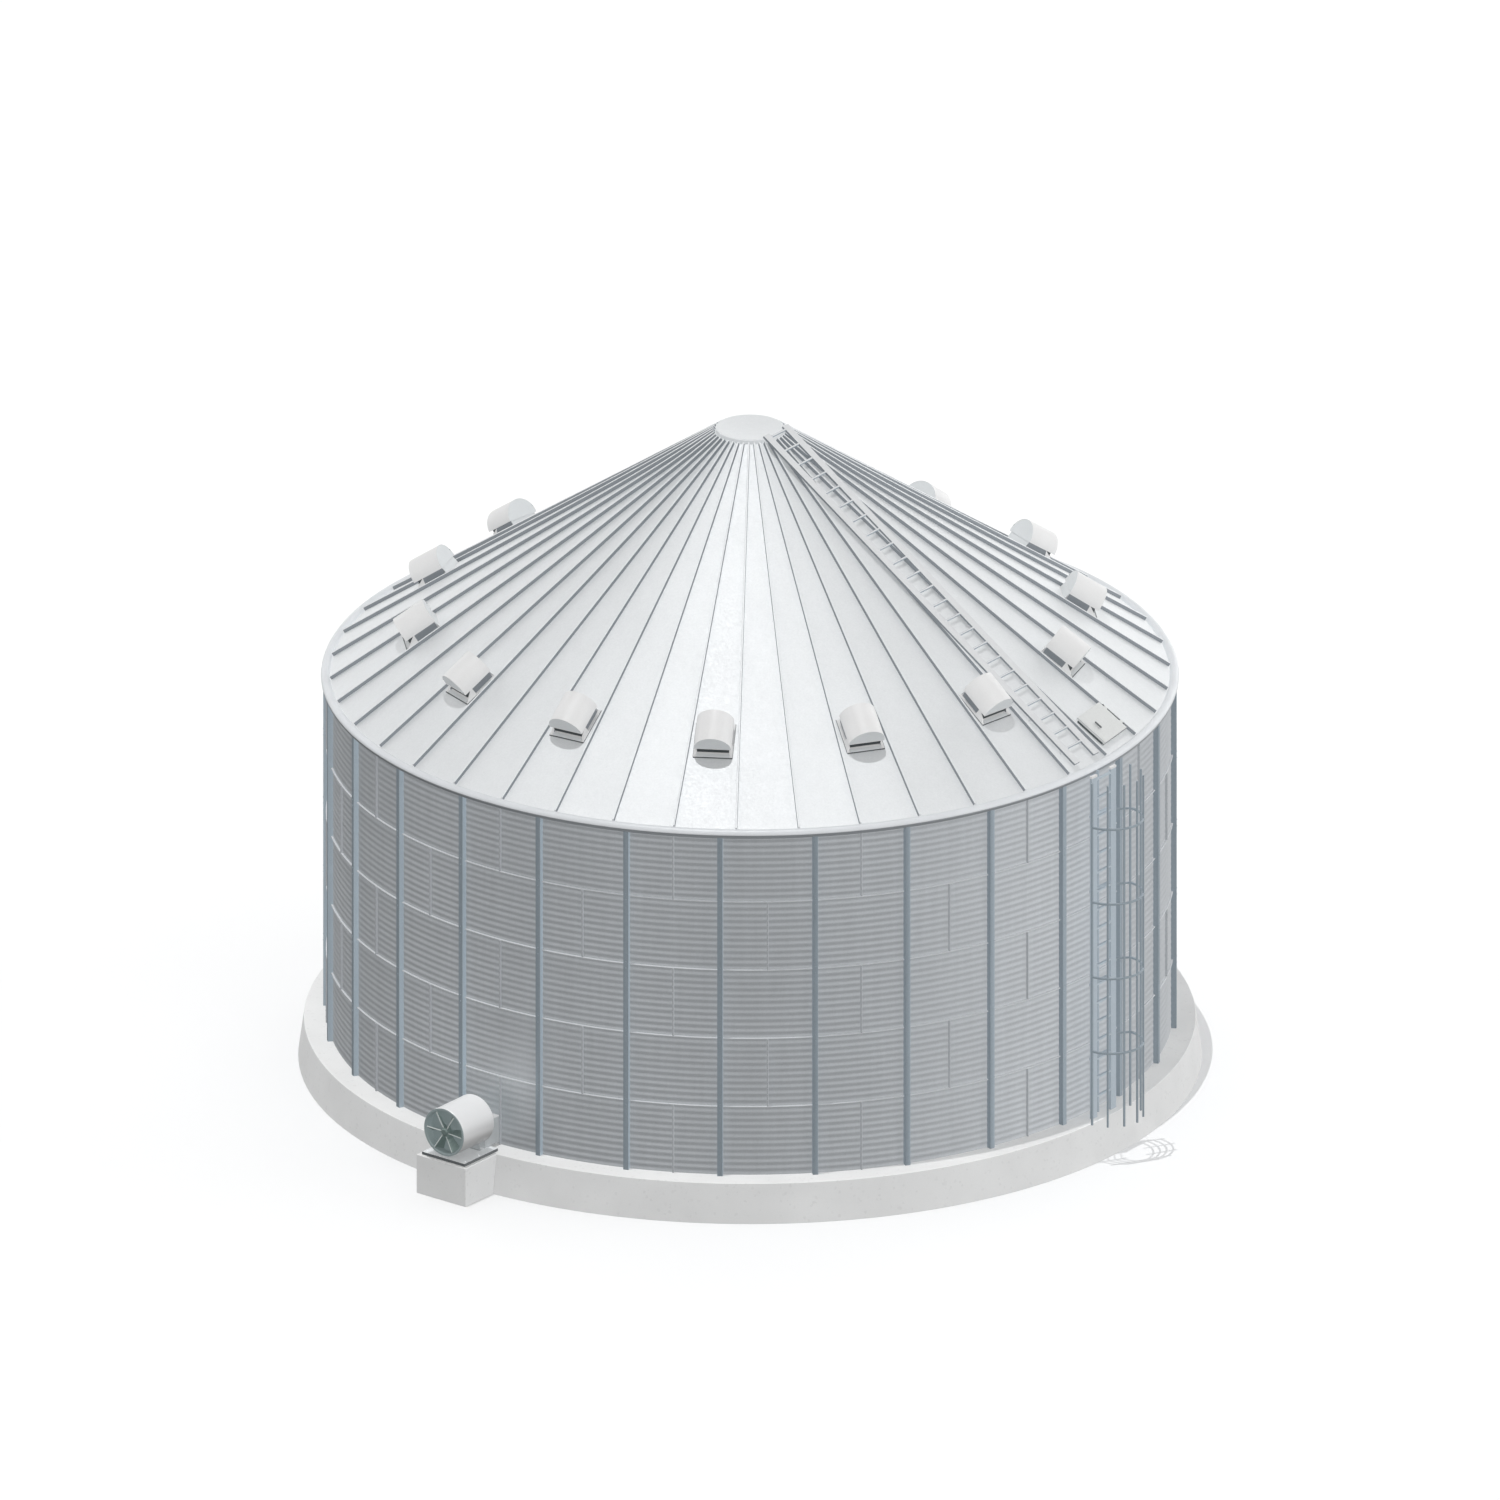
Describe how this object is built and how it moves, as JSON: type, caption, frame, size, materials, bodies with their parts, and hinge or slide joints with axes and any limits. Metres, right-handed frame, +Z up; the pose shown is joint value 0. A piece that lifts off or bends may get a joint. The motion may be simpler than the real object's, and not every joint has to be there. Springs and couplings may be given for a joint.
{
  "type": "grain silo",
  "caption": "Round corrugated steel grain silo on a concrete ring slab, with a ribbed cone roof, roof vents, caged ladder, roof ladder, hinged hatch and a floor aeration fan.",
  "frame": {"origin": "centre of the foundation slab's underside", "axes": "+Z up along the silo's axis, -Y towards the side that the picture shows, +X to its right"},
  "size_m": [13.7066, 13.7066, 10.3473],
  "materials": {
    "concrete": "matt cast concrete",
    "wall_steel": "weathered galvanised sheet",
    "roof_steel": "bright galvanised sheet",
    "white_metal": "satin white coating",
    "ladder_steel": "pale galvanised steel",
    "dark_metal": "dark satin coating"
  },
  "bodies": {
    "silo": {"wall_segment_1": "wall_steel", "wall_segment_2": "wall_steel", "wall_segment_3": "wall_steel", "wall_segment_4": "wall_steel", "wall_segment_5": "wall_steel", "wall_segment_6": "wall_steel", "wall_segment_7": "wall_steel", "eave_ring_1": "white_metal", "eave_ring_2": "white_metal", "eave_ring_3": "white_metal", "eave_ring_4": "white_metal", "eave_ring_5": "white_metal", "eave_ring_6": "white_metal", "eave_ring_7": "white_metal", "roof_sector_1": "roof_steel", "roof_sector_2": "roof_steel", "roof_sector_3": "roof_steel", "roof_sector_4": "roof_steel", "roof_sector_5": "roof_steel", "roof_sector_6": "roof_steel", "roof_sector_7": "roof_steel", "roof_vent_01": "white_metal", "roof_vent_02": "white_metal", "roof_vent_03": "white_metal", "roof_vent_04": "white_metal", "roof_vent_05": "white_metal", "roof_vent_06": "white_metal", "roof_vent_07": "white_metal", "roof_vent_08": "white_metal", "roof_vent_09": "white_metal", "roof_vent_10": "white_metal", "roof_vent_11": "white_metal", "roof_vent_12": "white_metal", "roof_vent_13": "white_metal", "roof_vent_14": "white_metal", "foundation_slab": "concrete", "fan_pad": "concrete", "roof_cap": "roof_steel", "wall_ladder": "ladder_steel", "ladder_cage": "ladder_steel", "roof_ladder": "ladder_steel", "hatch_curb": "roof_steel", "fan_base": "dark_metal", "fan_housing": "white_metal", "fan_motor": "dark_metal", "fan_duct": "white_metal"},
    "hatch_lid": {"hatch_lid": "roof_steel"},
    "fan_impeller": {"fan_impeller": "dark_metal"}
  },
  "joints": [
    {"name": "hatch_hinge", "type": "hinge", "parent": "silo", "child": "hatch_lid", "pos_m": [5.51553, -2.46402, 6.56702], "axis": [-0.7332, 0.3833, 0.5617], "range_deg": [0, 110]},
    {"name": "fan_spin", "type": "hinge", "parent": "silo", "child": "fan_impeller", "pos_m": [-4.63587, -5.9148, 1.1275], "axis": [-0.62, -0.7846, 0], "continuous": true}
  ]
}
